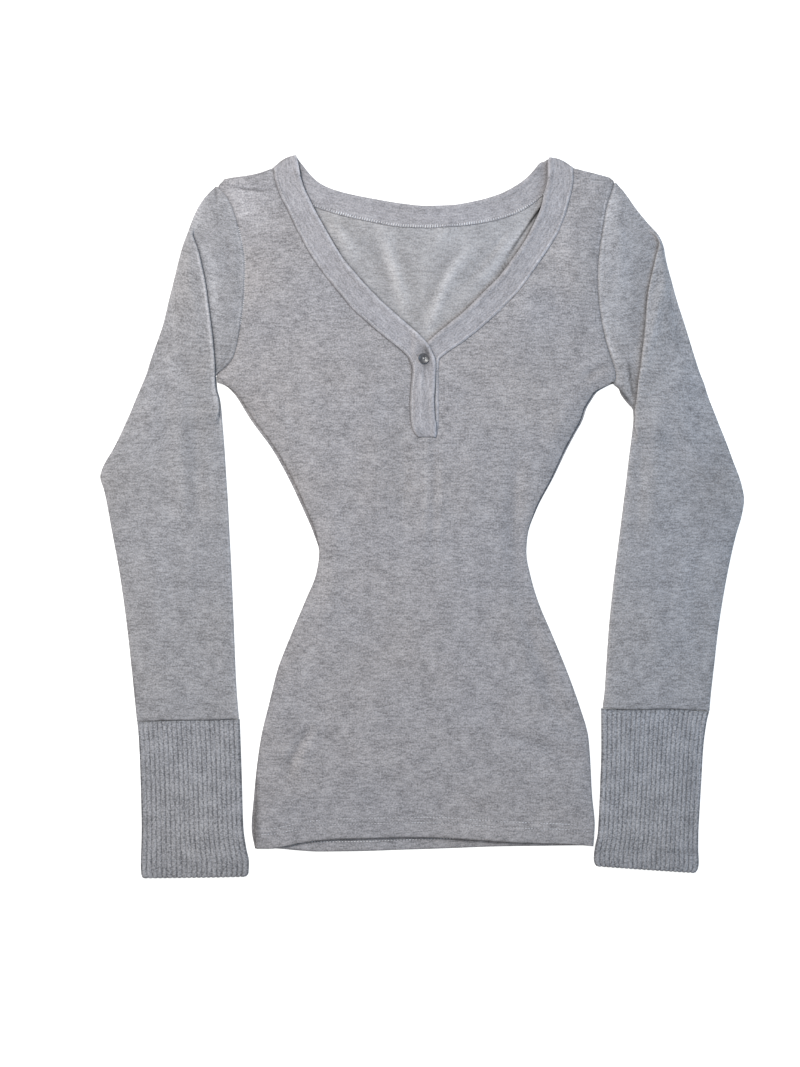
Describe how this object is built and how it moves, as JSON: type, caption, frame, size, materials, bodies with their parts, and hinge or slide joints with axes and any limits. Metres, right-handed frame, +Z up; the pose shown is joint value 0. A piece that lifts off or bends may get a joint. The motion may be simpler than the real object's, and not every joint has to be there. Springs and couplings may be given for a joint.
{
  "type": "v-neck sweater",
  "caption": "Fitted long-sleeved V-neck knit sweater laid flat, with a buttoned placket, a banded neck and long ribbed cuffs.",
  "frame": {"origin": "centre of the garment's box, on the surface that it lies on", "axes": "+X to the right as one looks down on the front, +Y from the hem to the neck, +Z up out of the front"},
  "size_m": [0.566, 0.634, 0.0076],
  "materials": {
    "body_knit": "light heather grey fine knit, matt",
    "sleeve_knit": "light heather grey fine knit, matt",
    "cuff_rib": "heather grey ribbed knit, matt",
    "band_knit": "light heather grey double knit, matt",
    "button_smoke": "dark smoky plastic, glossy"
  },
  "bodies": {
    "root": {"back_panel": "body_knit", "front_panel": "body_knit", "sleeve_left": "sleeve_knit", "sleeve_right": "sleeve_knit", "cuff_left": "cuff_rib", "cuff_right": "cuff_rib", "neckband_back": "band_knit", "neckband_left": "band_knit", "neckband_right": "band_knit", "button": "button_smoke"}
  },
  "joints": []
}
